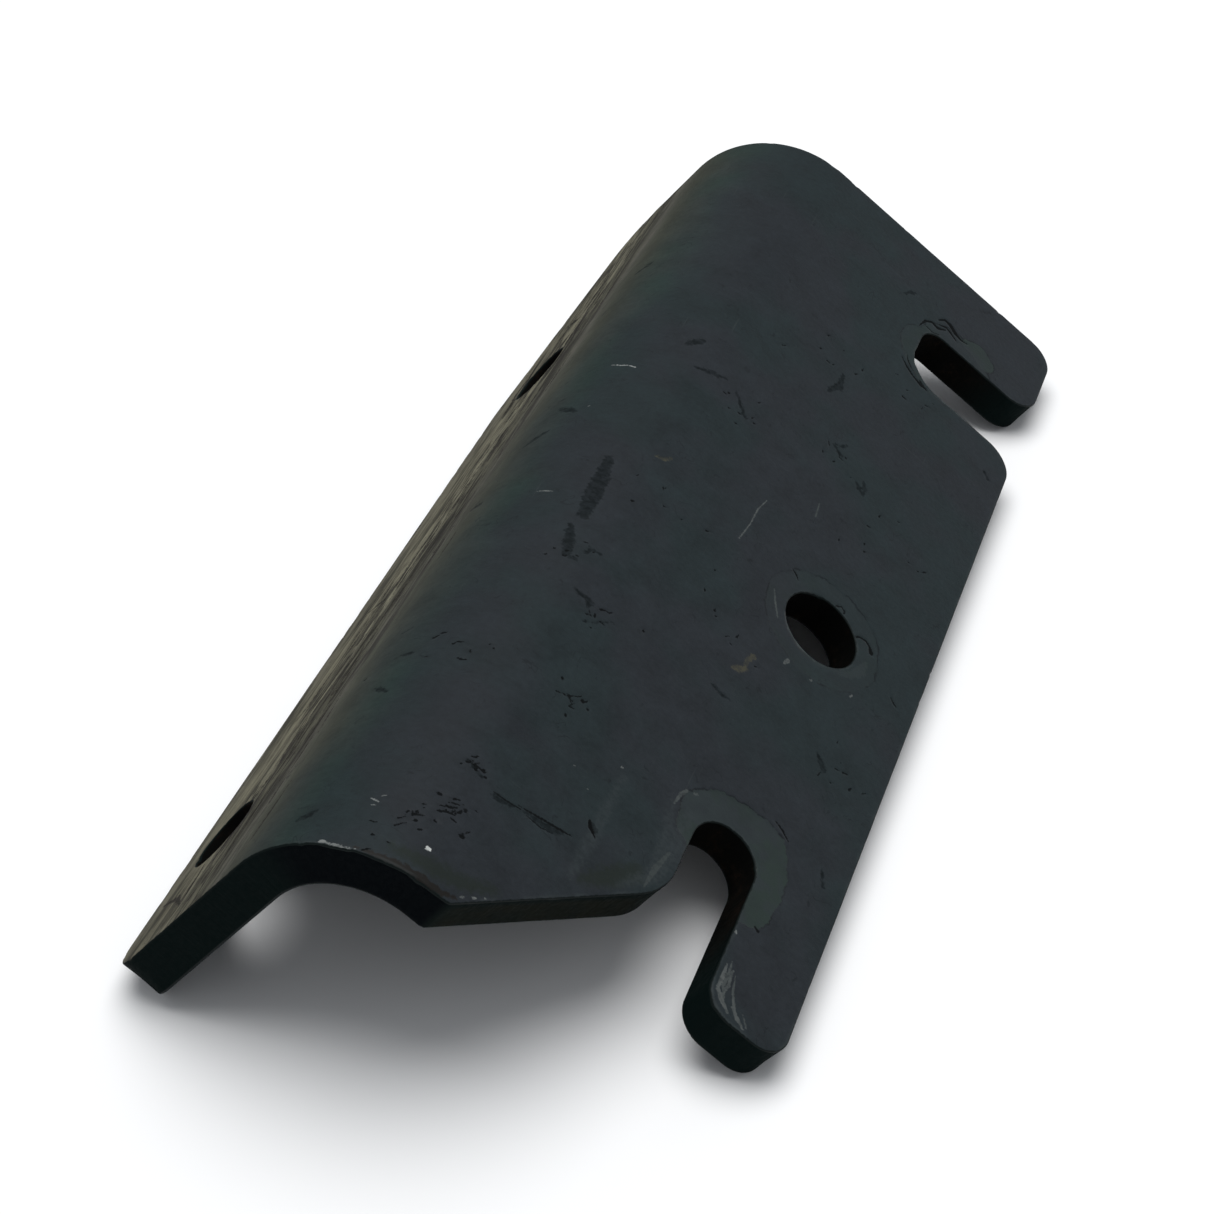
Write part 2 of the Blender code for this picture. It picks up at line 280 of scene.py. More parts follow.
# Greenish, stained patches near the chamfered end.
MOSS = [
    ([(-8, 4, 1.2), (-2, 4.6, 2), (4, 6.4, 1.8), (10, 10, 1)], 0),
    ([(24, 27, 1), (29, 32.6, 2.4), (33.6, 38.6, 2)], 0),
]
# Brown, scraped places: the edge at the fold's near end, and about the side holes.
BROWN = [
    ([(-14, 0.7, 0.3), (-6, 0.8, 0.9), (1, 0.9, 0.8), (4.2, 2.2, 0.3)], 0.06),
    ([(-64, 40, 0.3), (-60.4, 32, 0.9), (-62, 20, 0.5)], 0.06),
    ([(-80, 18, 0.3), (-72, 15, 0.9), (-66, 9, 0.4)], 0.06),
    ([(-56, 236, 0.3), (-53, 222, 1), (-55, 206, 0.4)], 0.08),
    ([(-74, 232, 0.3), (-76, 222, 0.9), (-73, 206, 0.4)], 0.08),
    ([(-70.3, 250.4, 0.3), (-66, 248.4, 0.7), (-61.2, 245.9, 0.3)], 0.08),
]
# Washer prints: centre u, y; radius; depth; how pale; and (angle in degrees, extra radius) lobes.
PRINTS = [
    (49.6, 60.4, 15.0, 0.16, 1.0, [(58.0, 2.3), (-43.0, 2.2), (-4.0, -0.8), (180.0, -1.6), (212.0, -4.0)]),
    (MAIN_HOLE[0], MAIN_HOLE[1], 16.2, 0.06, 0.25, [(40.0, 0.4), (220.0, -0.5)]),
    (50.0, 262.0, 15.4, 0.05, 0.4, [(90.0, 0.8), (150.0, -2.0)]),
]
# Smooth rubbed patches of the same tone, beside the upper slot and the main hole.
PATCHES = [
    ([(53, 277.6, 2.2), (56.4, 278.2, 3.2), (59.4, 276.2, 3)], 0.05),
    ([(55.8, 131, 0.5), (58.8, 133.2, 1.1), (60.8, 136.8, 1.3), (61, 140.4, 0.5)], 0.03),
]
PATCH_TONE = 0.8
LOBE_WIDTH = 17.0  # degrees

# ---- the view ----
CAMERA_PLACE = (0.13483, -0.49688, 0.39428)  # metres
CAMERA_TURN = (53.214, -2.482, 18.298)  # degrees about X, Y, Z
CAMERA_LENS = 81.12  # millimetres
SENSOR = 36.0  # millimetres
FLOOR_REACH = 6.0  # metres each way
SOFTBOX_PLACE = (-0.1, 0.2, 1.7)
SOFTBOX_AIM = (0.1, -0.2, -1.67)  # towards the plate's middle
SOFTBOX_SIZE = 1.8
SOFTBOX_POWER = 30.0  # watts
SKY = (0.93, 0.96, 1.0, 1.0)
SKY_STRENGTH = 0.45


# ---- small helpers ----
def add_object(name, data):
    thing = bpy.data.objects.new(name, data)
    bpy.context.scene.collection.objects.link(thing)
    return thing


def smooth(x):
    x = np.clip(x, 0.0, 1.0)
    return x * x * (3.0 - 2.0 * x)


def lattice(i, j, seed):
    """A fixed pseudo-random number from 0 to 1 for each whole-numbered lattice point."""
    value = np.sin(i * 127.1 + j * 311.7 + seed * 74.7) * 43758.5453
    return value - np.floor(value)


def noise(u, y, size, seed):
    """Smooth noise from -1 to 1 whose bumps are about `size` across."""
    a, b = u / size, y / size
    i, j = np.floor(a), np.floor(b)
    s, t = smooth(a - i), smooth(b - j)
    low = lattice(i, j, seed) * (1 - s) + lattice(i + 1, j, seed) * s
    high = lattice(i, j + 1, seed) * (1 - s) + lattice(i + 1, j + 1, seed) * s
    return (low * (1 - t) + high * t) * 2.0 - 1.0


# ---- outlines ----
def rounded_outline(corners):
    """Points of a polygon with rounded corners, anticlockwise, before even spacing."""
    points = []
    for k, (u, y, radius) in enumerate(corners):
        corner = np.array((u, y))
        back = np.array(corners[k - 1][:2]) - corner
        ahead = np.array(corners[(k + 1) % len(corners)][:2]) - corner
        back = back / np.linalg.norm(back)
        ahead = ahead / np.linalg.norm(ahead)
        half = 0.5 * math.acos(float(np.clip(back @ ahead, -1.0, 1.0)))
        middle = (back + ahead) / np.linalg.norm(back + ahead)
        centre = corner + middle * radius / math.sin(half)
        reach = radius / math.tan(half)
        first = corner + back * reach - centre
        last = corner + ahead * reach - centre
        sweep = math.atan2(first[0] * last[1] - first[1] * last[0], first @ last)
        steps = max(4, int(abs(sweep) / math.radians(4.0)))
        for step in range(steps + 1):
            angle = sweep * step / steps
            c, s = math.cos(angle), math.sin(angle)
            points.append(centre + (first[0] * c - first[1] * s, first[0] * s + first[1] * c))
    return np.array(points)


def circle(u, y, radius, angles):
    """Points of a circle at the angles, in radians."""
    return np.stack((u + radius * np.cos(angles), y + radius * np.sin(angles)), axis=1)


def even(points, step):
    """The same closed line with points every `step`."""
    closed = np.vstack((points, points[:1]))
    lengths = np.hypot(*np.diff(closed, axis=0).T)
    travelled = np.concatenate(([0.0], np.cumsum(lengths)))
    count = int(round(travelled[-1] / step))
    wanted = np.linspace(0.0, travelled[-1], count, endpoint=False)
    return np.stack([np.interp(wanted, travelled, closed[:, k]) for k in (0, 1)], axis=1)


def inward(points):
    """Unit normals of a closed line, towards its left: into the plate."""
    tangent = np.roll(points, -1, axis=0) - np.roll(points, 1, axis=0)
    tangent /= np.hypot(*tangent.T)[:, None]
    return np.stack((-tangent[:, 1], tangent[:, 0]), axis=1)


# ---- marks ----
def mark_field(points, marks):
    """How far inside the nearest mark each point is (negative outside), the depth there, and that
    mark's tone, where its list gives one."""
    field = np.full(len(points), FAR_OUTSIDE)
    depth = np.zeros(len(points))
    tone = np.zeros(len(points))
    for line, deep, *mark_tone in marks:
        line = np.array(line, float)
        widest = line[:, 2].max()
        low, high = line[:, :2].min(0) - widest + FAR_OUTSIDE, line[:, :2].max(0) + widest - FAR_OUTSIDE
        near = np.flatnonzero(np.all((points > low) & (points < high), axis=1))
        inside = np.full(len(near), FAR_OUTSIDE)
        for a, b in zip(line[:-1], line[1:]):
            run = b[:2] - a[:2]
            offset = points[near] - a[:2]
            t = np.clip((offset @ run) / (run @ run), 0.0, 1.0)
            gap = np.hypot(*(offset - t[:, None] * run).T)
            inside = np.maximum(inside, a[2] + (b[2] - a[2]) * t - gap)
        if mark_tone:
            tone[near] = np.where(inside > field[near], mark_tone[0], tone[near])
        field[near] = np.maximum(field[near], inside)
        cut = deep * smooth(0.5 + inside / max(widest, 0.3))
        depth[near] = np.maximum(depth[near], cut)
    return field, depth, tone


def scattered_marks():
    """Random specks in their clusters, and random scrapes along the side flange."""
    chance = np.random.default_rng(SEED)
    specks, scrapes = [], []
    for u, y, radius, count in SPECKLED:
        for _ in range(count):
            reach, turn = radius * chance.random(), chance.uniform(0.0, math.tau)
            first = np.array((u + reach * math.cos(turn), y + reach * math.sin(turn)))
            heading = math.radians(chance.normal(SPECK_HEADING, 30.0))
            length, width = chance.uniform(0.2, 1.5), chance.uniform(0.12, 0.36)
            last = first + length * np.array((math.cos(heading), math.sin(heading)))
            specks.append(([(*first, width), (*last, 0.5 * width)], chance.uniform(0.05, 0.15)))
    for _ in range(SCRAPE_COUNT):
        u, y = chance.normal(SCUFF_MIDDLE, 9.0), chance.uniform(6.0, LENGTH - 30.0)
        length, lean = chance.uniform(4.0, 22.0), chance.normal(0.0, 0.06)
        width = chance.uniform(0.25, 0.9)
        u = float(np.clip(u, side(SIDE_WIDTH - 8.0), side(2.0)))
        middle = (u + 0.4 * length * lean, y + 0.4 * length, width)
        scrapes.append(([(u, y, 0.08), middle, (u + length * lean, y + length, 0.08)], 0.08))
    return specks, scrapes


SPECKS, SCRAPES = scattered_marks()


def print_field(points):
    """How far inside the nearest washer print each point is, the depth there, and how pale it is."""
    field = np.full(len(points), 2.0 * FAR_OUTSIDE)
    depth = np.zeros(len(points))
    pale = np.zeros(len(points))
    for k, (u, y, radius, deep, paleness, lobes) in enumerate(PRINTS):
        offset = points - (u, y)
        reach = np.hypot(*offset.T)
        angle = np.degrees(np.arctan2(offset[:, 1], offset[:, 0]))
        shaped = np.full(len(points), radius)
        for middle, extra in lobes:
            turn = (angle - middle + 180.0) % 360.0 - 180.0
            shaped += extra * np.exp(-(turn / LOBE_WIDTH) ** 2)
        a, b = offset.T / np.maximum(reach, 1e-6) * 4.0
        shaped += 0.35 * noise(a, b, 1.0, 3 + k) + 0.3 * noise(a, b, 0.35, 13 + k)
        inside = shaped - reach
        pale = np.where(inside > field, paleness, pale)
        field = np.maximum(field, inside)
        depth = np.maximum(depth, deep * smooth(0.5 + inside / 0.6))
    inside, cut, _ = mark_field(points, PATCHES)
    pale = np.where(inside > np.minimum(field, 0.0), PATCH_TONE, pale)
    return np.maximum(field, inside), np.maximum(depth, cut), pale


def mark_points():
    """Mesh points in and about every mark, so that each one is a shape in the mesh."""
    extra = []
    for line, *_ in GOUGES + SMEARS + WORN_AND_HIGHLIGHT + STAINS + BROWN + PATCHES + SPECKS + SCRAPES:
        extra.extend(points_along(np.array(line, float)))
    for u, y, radius in PITS:
        for ring in PIT_RINGS:
            count = max(1, int(math.tau * ring * radius / PIT_STEP))
            for step in range(count):
                angle = math.tau * step / count
                extra.append((u + ring * radius * math.cos(angle), y + ring * radius * math.sin(angle)))
    within, beyond = RIM_REACH
    for u, y, radius, _, _, lobes in PRINTS:
        longest_lobe = max([0.0] + [lobe for _, lobe in lobes])
        for ring in np.arange(radius - within, radius + longest_lobe + beyond, RIM_STEP):
            angles = np.arange(0.0, math.tau, RIM_SPACING / radius)
            extra.extend(circle(u, y, ring, angles))
    return np.array(extra)


def points_along(line):
    """Points along a mark's line (u, y, half width) and on both sides of it."""
    points = []
    for a, b in zip(line[:-1], line[1:]):
        run = b[:2] - a[:2]
        length = np.linalg.norm(run)
        normal = np.array((-run[1], run[0])) / length
        pace = min(LONG_STEP, max(MARK_STEP, length / 12.0)) / length
        for t in np.arange(0.0, 1.0 + pace, pace):
            width = a[2] + (b[2] - a[2]) * t
            for share, more in MARK_OFFSETS:
                offset = share * width + more
                points.append(a[:2] + run * t + normal * offset)
                points.append(a[:2] + run * t - normal * offset)
    return points


def thin_out(points, gap):
    """Drops points that come closer than about `gap` to one kept before them."""
    cells = np.floor(points / gap).astype(int)
    kept = {}
    for k, cell in enumerate(map(tuple, cells)):
        kept.setdefault(cell, k)
    return points[sorted(kept.values())]


def hex_grid(step):
    """Points of a triangular lattice that covers the blank's box."""
    rows = np.arange(0.0, LENGTH, step * math.sqrt(3.0) / 2.0)
    points = []
    for k, y in enumerate(rows):
        u = np.arange(side(SIDE_WIDTH) + (k % 2) * step / 2.0, MAIN_WIDTH, step)
        points.append(np.stack((u, np.full(len(u), y)), axis=1))
    return np.vstack(points)


# ---- the plate ----
class Outline:
    """The blank's edge loops, evenly spaced, with what varies along them."""

    def __init__(self):
        # The holes run clockwise, so that the plate is on the left of every loop.
        clockwise = -np.linspace(0.0, math.tau, HOLE_CORNERS, endpoint=False)
        shapes = [rounded_outline(BLANK_CORNERS)] + [circle(*hole, clockwise) for hole in HOLES]
        loops = [even(shape, EDGE_STEP) for shape in shapes]
        counts = [len(loop) for loop in loops]
        self.points = np.vstack(loops)
        self.normals = np.vstack([inward(loop) for loop in loops])
        starts = np.cumsum([0] + counts[:-1])
        self.following = np.concatenate(
            [start + np.roll(np.arange(n), -1) for start, n in zip(starts, counts)])
        self.preceding = np.argsort(self.following)
        self.loops = [list(range(start, start + n)) for start, n in zip(starts, counts)]
        self.tree = KDTree(len(self.points))
        for k, (u, y) in enumerate(self.points):
            self.tree.insert((u, y, 0.0), k)
        self.tree.balance()
        u, y = self.points.T
        wear = 0.5 + 0.3 * noise(u, y, 22.0, 41) + 0.2 * noise(u, y, 5.0, 42)
        self.round = OUTER_ROUND[0] + (OUTER_ROUND[1] - OUTER_ROUND[0]) * np.clip(wear, 0.0, 1.0)
        chipped = smooth((noise(u, y, 2.6, 43) + 0.5 * noise(u, y, 17.0, 44) - 0.55) / 0.4)
        self.round += EDGE_CHIP * chipped
        for centre_u, centre_y, reach, extra in WORN_CORNERS:
            near = np.exp(-((u - centre_u) ** 2 + (y - centre_y) ** 2) / reach ** 2)
            self.round += extra * near * (0.7 + 0.5 * noise(u, y, 1.7, 45))

    def nearest(self, points):
        """Which of the edge's points is nearest to each point."""
        return np.array([self.tree.find((u, y, 0.0))[1] for u, y in points])

    def distance(self, points):
        """Distance from each point to the edge: to the segments on both sides of its nearest point."""
        nearest = self.nearest(points)
        result = np.full(len(points), np.inf)
        for start in (nearest, self.preceding[nearest]):
            run = self.points[self.following[start]] - self.points[start]
            offset = points - self.points[start]
            t = np.clip((offset * run).sum(1) / (run ** 2).sum(1), 0.0, 1.0)
            result = np.minimum(result, np.hypot(*(offset - t[:, None] * run).T))
        return result

    def clear_of(self, points, clearance):
        """Those of the points that lie on the blank, more than `clearance` in from the rounded edge."""
        points = points[self.inside(points)]
        rounding = self.round[self.nearest(points)]
        return points[self.distance(points) > rounding + clearance]

    def inside(self, points):
        """Whether each point is on the blank: an odd number of crossings of the edge loops."""
        crossings = np.zeros(len(points), int)
        a, b = self.points, self.points[self.following]
        for (au, ay), (bu, by) in zip(a, b):
            if ay == by:
                continue
            spans = (points[:, 1] >= min(ay, by)) & (points[:, 1] < max(ay, by))
            crosses = au + (points[spans, 1] - ay) * (bu - au) / (by - ay) > points[spans, 0]
            crossings[np.flatnonzero(spans)[crosses]] += 1
        return crossings % 2 == 1


def surface_depth(points):
    """How deep the outer face is worn at each point, and the fields of its marks."""
    u, y = points.T
    fields = {}
    depth = WEAR_DEPTH + sum(height * noise(u, y, size, seed) for size, height, seed in WEAR_WAVES)
    pits = [([(pu, py, radius), (pu + 0.05, py, radius)], PIT_DEPTH) for pu, py, radius in PITS]
    kinds = {"dark": GOUGES + pits + SPECKS, "smear": SMEARS, "worn": WORN_AND_HIGHLIGHT, "stain": STAINS,
             "haze": HAZES, "moss": MOSS, "brown": BROWN + SCRAPES}
    for name, marks in kinds.items():
        fields[name], cut, tone = mark_field(points, marks)
        depth += cut
        if name == "worn":
            fields["wear_and_highlight_tone"] = tone
    fields["print"], cut, fields["print_tone"] = print_field(points)
    depth += cut
    # Scuffed ridges where the press brake's die bore on the side flange.
    band = np.exp(-((u - SCUFF_MIDDLE) / SCUFF_WIDTH) ** 2)
    ridges = noise(u, y * 0.06, 2.6, 21) + 0.6 * noise(u, y * 0.12, 1.4, 22)
    depth += band * SCUFF_DEPTH * np.clip(ridges, 0.0, 1.5)
    return np.maximum(depth, 0.0), fields


def in_bore(u, y):
    """1 on and close to the walls of the holes and slots, easing to 0 towards a slot's mouth."""
    reach = BORE_REACH
    lower = (u > SLOT_LEFT - reach) & (u < SLOT_RIGHT + reach) & (y < SLOT_TOP + reach)
    upper = (u > UPPER_SLOT_END - reach) & (y > UPPER_SLOT_LOW - reach) & (y < UPPER_SLOT_HIGH + reach)
    start, run = LOWER_FADE
    result = np.where(lower, smooth((y - PRONG_END - start) / run), 0.0)
    start, run = UPPER_FADE
    result = np.where(upper, smooth((MAIN_WIDTH - start - u) / run), result)
    for hole_u, hole_y, radius in HOLES:
        result = np.where(np.hypot(u - hole_u, y - hole_y) < radius + reach, 1.0, result)
    return result


def face_mesh(outline, boundary, inner_points):
    """Triangles over one face of the blank. The first points are the boundary's."""
    points = np.vstack((boundary, inner_points))
    loops = [list(loop) for loop in outline.loops]
    flat = [Vector(p) for p in points]
    verts, _, faces, origins, _, _ = delaunay_2d_cdt(flat, [], loops, 1, 1e-5)
    index = np.array([origin[0] for origin in origins])
    triangles = index[np.array([list(face) for face in faces])]
    # A triangle whose corners all lie on one hole's edge fills the hole.
    loop_of = np.full(len(points), -1)
    for k, loop in enumerate(outline.loops[1:]):
        loop_of[loop] = k
    corners = loop_of[triangles]
    fills = (corners[:, 0] >= 0) & (corners[:, 0] == corners[:, 1]) & (corners[:, 1] == corners[:, 2])
    return points, triangles[~fills]


def folded(u, y, z):
    """Blank coordinates to the plate's own: X away from the fold on the main flange, Z out of it."""
    angle = np.clip(-u / NEUTRAL_RADIUS, 0.0, FOLD_ANGLE)
    beyond = np.maximum(-u - FOLD_LENGTH, 0.0)
    radius = OUTSIDE_RADIUS + z
    across = np.where(u >= 0.0, u, -radius * np.sin(angle) - beyond * np.cos(angle))
    height = np.where(u >= 0.0, z, radius * np.cos(angle) - OUTSIDE_RADIUS - beyond * np.sin(angle))
    return np.stack((across, y, height), axis=1)


def laid_down(points, lowest, highest):
    """Turns the folded plate on to its two lower edges and puts it in the CAD node's box."""
    ends = folded(np.array((MAIN_WIDTH, side(SIDE_WIDTH))), np.zeros(2), np.full(2, -THICKNESS))
    run = ends[0] - ends[1]
    tilt = math.atan2(run[2], run[0])
    c, s = math.cos(tilt), math.sin(tilt)
    turned = points @ np.array(((c, 0.0, s), (0.0, 1.0, 0.0), (-s, 0.0, c))).T * MM
    middle = (turned.min(0) + turned.max(0)) / 2.0
    place = (np.array(lowest) + np.array(highest)) / 2.0
    middle[2], place[2] = turned.min(0)[2], lowest[2]
    return turned + (place - middle)


def edge_rows(outline):
    """Rows of points, from the outer face's rim round and down the wall to the inner face's rim."""
    edge, normal, outer_round = outline.points, outline.normals, outline.round
    bow, variation = WALL_WAVER
    quarter = np.linspace(0.0, math.pi / 2.0, ROUND_ROWS + 1)
    rows = []

    def add_row(inset, z):
        inset, z = np.broadcast_to(inset, len(edge)), np.broadcast_to(z, len(edge))
        rows.append(np.column_stack((edge + normal * inset[:, None], z)))

    for angle in quarter:
        add_row(outer_round * (1.0 - math.sin(angle)), -outer_round * (1.0 - math.cos(angle)))
    for step in range(1, WALL_ROWS):
        share = step / WALL_ROWS
        z = -outer_round * (1 - share) - (THICKNESS - INNER_ROUND) * share
        waver = bow + variation * noise(edge[:, 0] + edge[:, 1] * 0.7, z * 0.4 + edge[:, 1], 4.0, 5)
        add_row(waver * math.sin(share * math.pi), z)
    for angle in quarter[::-1]:
        add_row(INNER_ROUND * (1.0 - math.sin(angle)), -THICKNESS + INNER_ROUND * (1.0 - math.cos(angle)))
    return rows


def outer_points(outline):
    """Points inside the outer face: those of its marks, and a grid where there are none."""
    marks = thin_out(mark_points(), MARK_GAP)
    taken = set(map(tuple, np.floor(marks / OUTER_STEP).astype(int)))
    grid = hex_grid(OUTER_STEP)
    cells = map(tuple, np.floor(grid / OUTER_STEP).astype(int))
    grid = grid[[cell not in taken for cell in cells]]
    return np.vstack((outline.clear_of(grid, OUTER_CLEARANCE), outline.clear_of(marks, MARK_CLEARANCE)))


def flat_plate():
    """The plate before it is folded: its outline, its points, and its faces in one array each for
    the outer face, the inner face, and every row of the edge from the outer face to the inner."""
    outline = Outline()
    rows = edge_rows(outline)
    outer, outer_faces = face_mesh(outline, rows[0][:, :2], outer_points(outline))
    inner_points = outline.clear_of(hex_grid(INNER_STEP), INNER_CLEARANCE)
    inner, inner_faces = face_mesh(outline, rows[-1][:, :2], inner_points)
    outer = np.column_stack((outer, np.zeros(len(outer))))
    inner = np.column_stack((inner, np.full(len(inner), -THICKNESS)))
    parts = [outer] + rows[1:-1] + [inner]
    offsets = np.cumsum([0] + [len(part) for part in parts])

    faces = [outer_faces, inner_faces[:, ::-1] + offsets[-2]]
    base, following = np.arange(len(outline.points)), outline.following
    for upper, lower in zip(offsets[:-2], offsets[1:-1]):
        faces.append(np.stack((upper + base, lower + base, lower + following, upper + following), axis=1))
    return outline, np.vstack(parts), faces


def worn_shape(blank, depth, on_outer):
    """The plate's points with the outer face worn and the inner one faintly uneven."""
    shape = blank.copy()
    # The first rows of the rounded edge sink with the face beside them.
    shape[:, 2] -= depth * on_outer
    height, variation, size, seed = INNER_SWELL
    swell = height + variation * noise(blank[:, 0], blank[:, 1], size, seed)
    shape[:, 2] += np.where(blank[:, 2] <= -THICKNESS + 1e-6, swell, 0.0)
    return shape


def build_plate(lowest, highest):
    """The finely meshed plate, with its attributes, as an object in the frame's place."""
    outline, blank, faces = flat_plate()
    depth, fields = surface_depth(blank[:, :2])
    start, run = WEAR_FADE
    on_outer = 1.0 - smooth((-blank[:, 2] - start) / run)
    shape = worn_shape(blank, depth, on_outer)
    placed = laid_down(folded(*shape.T), lowest, highest)

    mesh = bpy.data.meshes.new("bracket_plate")
    mesh.from_pydata(placed.tolist(), [], [list(map(int, face)) for part in faces for face in part])
    mesh.shade_smooth()
    # The rows of the cut wall, in the second material, come after two faces and the rounded edge.
    first_wall = 2 + ROUND_ROWS
    materials = [int(first_wall <= k < first_wall + WALL_ROWS) for k in range(len(faces))]
    mesh.polygons.foreach_set("material_index", np.repeat(materials, [len(part) for part in faces]))

    for name in fields:
        fields[name] = np.where(on_outer > 0.5, fields[name], FAR_OUTSIDE)
    fields["edge"] = outline.distance(blank[:, :2])
    fields["bore"] = in_bore(*blank[:, :2].T)
    for name, values in fields.items():
        layer = mesh.attributes.new(name, "FLOAT", "POINT")
        layer.data.foreach_set("value", values.astype(np.float32))
    layer = mesh.attributes.new("blank", "FLOAT_VECTOR", "POINT")
    layer.data.foreach_set("vector", blank.astype(np.float32).ravel())
    return add_object("bracket_plate", mesh)


# ---- materials ----
class Graph:
    """Short ways to add shader nodes to one material."""

    def __init__(self, name):
        self.material = bpy.data.materials.new(name)
        self.material.use_nodes = True
        self.tree = self.material.node_tree
        self.shader = self.tree.nodes["Principled BSDF"]

    def node(self, kind, inputs, **settings):
        node = self.tree.nodes.new(kind)
        for key, value in settings.items():
            setattr(node, key, value)
        for key, value in inputs.items():
            if isinstance(value, bpy.types.NodeSocket):
                self.tree.links.new(value, node.inputs[key])
            else:
                node.inputs[key].default_value = value
        return node

    def attribute(self, name, output="Fac"):
        return self.node("ShaderNodeAttribute", {}, attribute_name=name).outputs[output]

    def math(self, operation, a, b=0.0, clamp=False):
        inputs = {0: a, 1: b}
        return self.node("ShaderNodeMath", inputs, operation=operation, use_clamp=clamp).outputs[0]

    def plus(self, a, b):
        return self.math("ADD", a, b)

    def times(self, a, b):
        return self.math("MULTIPLY", a, b)

    def off_centre(self, source):
        """A noise, which wavers about 0.5, made to waver about 0."""
        return self.math("SUBTRACT", source, 0.5)

    def noise(self, vector, scale, detail=2.0, roughness=0.5, distortion=0.0):
        inputs = {"Vector": vector, "Scale": scale, "Detail": detail,
                  "Roughness": roughness, "Distortion": distortion}
        return self.node("ShaderNodeTexNoise", inputs).outputs[0]

    def stretched(self, vector, scale, turn=0.0):
        inputs = {"Vector": vector, "Scale": scale, "Rotation": (0.0, 0.0, math.radians(turn))}
        return self.node("ShaderNodeMapping", inputs).outputs[0]

    def step(self, value, low, high, to_low=0.0, to_high=1.0):
        """Eases from to_low to to_high as value goes from low to high."""
        inputs = {"Value": value, "From Min": low, "From Max": high, "To Min": to_low, "To Max": to_high}
        return self.node("ShaderNodeMapRange", inputs, interpolation_type="SMOOTHSTEP").outputs[0]

    def ramp(self, value, stops):
        """A colour that runs through the (value, colour) stops; values are from 0 to 1."""
        node = self.node("ShaderNodeValToRGB", {"Fac": value})
        elements = node.color_ramp.elements
        elements.remove(elements[1])
        for k, (place, colour) in enumerate(stops):
            element = elements[0] if k == 0 else elements.new(place)
            element.position = place
            element.color = (*colour, 1.0)
        return node.outputs[0]

    def scaled(self, colour, gain):
        return self.node("ShaderNodeVectorMath", {0: colour, "Scale": gain}, operation="SCALE").outputs[0]

    def mix(self, share, a, b, way="MIX"):
        a, b = [(*colour, 1.0) if isinstance(colour, tuple) else colour for colour in (a, b)]
        inputs = {0: share, 6: a, 7: b}
        return self.node("ShaderNodeMix", inputs, data_type="RGBA", blend_type=way).outputs[2]

    def blend(self, share, a, b):
        """Numbers: a where share is 0, b where it is 1."""
        return self.node("ShaderNodeMix", {0: share, 2: a, 3: b}, data_type="FLOAT").outputs[0]

    def finish(self, colour, roughness, height, distance, specular):
        for key, value in (("Base Color", colour), ("Roughness", roughness)):
            self.tree.links.new(value, self.shader.inputs[key])
        self.shader.inputs["Specular IOR Level"].default_value = specular
        bump = self.node("ShaderNodeBump", {"Height": height, "Strength": 1.0, "Distance": distance})
        self.tree.links.new(bump.outputs[0], self.shader.inputs["Normal"])
        return self.material


# ---- the paint's colours and layers ----
SLATE = (0.0158, 0.0192, 0.0228)
# Across the fold, by u: slate, then greenish, then ever dustier. The change across the fold, darker at its
# start and paler and warmer towards the side flange, is partly dust and partly painted shade and sheen:
# how the light falls across the bend, laid in as colour.
FILM_DUST_AND_SHEEN = [
    (0.0, SLATE),
    (-14.0, (0.0126, 0.0158, 0.019)),
    (-21.0, (0.0132, 0.0178, 0.0202)),
    (-25.0, (0.016, 0.0228, 0.0226)),
    (-30.0, (0.0236, 0.029, 0.0266)),
    (-36.0, (0.031, 0.034, 0.026)),
    (-40.0, (0.041, 0.043, 0.0322)),
    (-45.0, (0.0572, 0.0556, 0.0448)),
    (-51.0, (0.0505, 0.049, 0.035)),
    (-55.0, (0.0562, 0.054, 0.038)),
    (-60.0, (0.11, 0.1045, 0.0745)),
    (-70.0, (0.109, 0.102, 0.071)),
    (-78.0, (0.085, 0.0795, 0.0565)),
    (-86.0, (0.086, 0.08, 0.06)),
]
GREEN_TINT = (0.84, 1.05, 0.97)  # multiplies the paint's colour
DEEP_SLATE = (0.005, 0.0065, 0.008)
SMEAR = (0.0014, 0.0036, 0.0044)
HAZE = (0.0265, 0.0335, 0.0358)
MOSS_GREEN = (0.0105, 0.015, 0.011)
SCRAPED = (0.0085, 0.0068, 0.0052)
PRINT_GREY = (0.0195, 0.0295, 0.0262)
PRINT_SLATE = (0.0215, 0.0285, 0.03)
# The cut walls' near-black tones are darker than cut steel: partly its own tone, partly painted shade that
# keeps the walls dark in spite of the pale floor's bounce light.
SHADED_WALL_GREEN = (0.0022, 0.0052, 0.005)
SHADED_WALL_NAVY = (0.0009, 0.0018, 0.0026)
WALL_DUSTY = (0.0064, 0.0074, 0.0053)
BORE_BLACK = (0.0023, 0.0024, 0.0021)
BORE_BROWN = (0.0078, 0.0054, 0.004)
BARE = (0.5, 0.52, 0.5)
# Also the colour of the painted highlight along the main hole's rim.
RUBBED_AND_HIGHLIGHT = (0.034, 0.041, 0.041)
STAIN = (0.046, 0.044, 0.03)
MARK_DARK = (0.0012, 0.0018, 0.002)


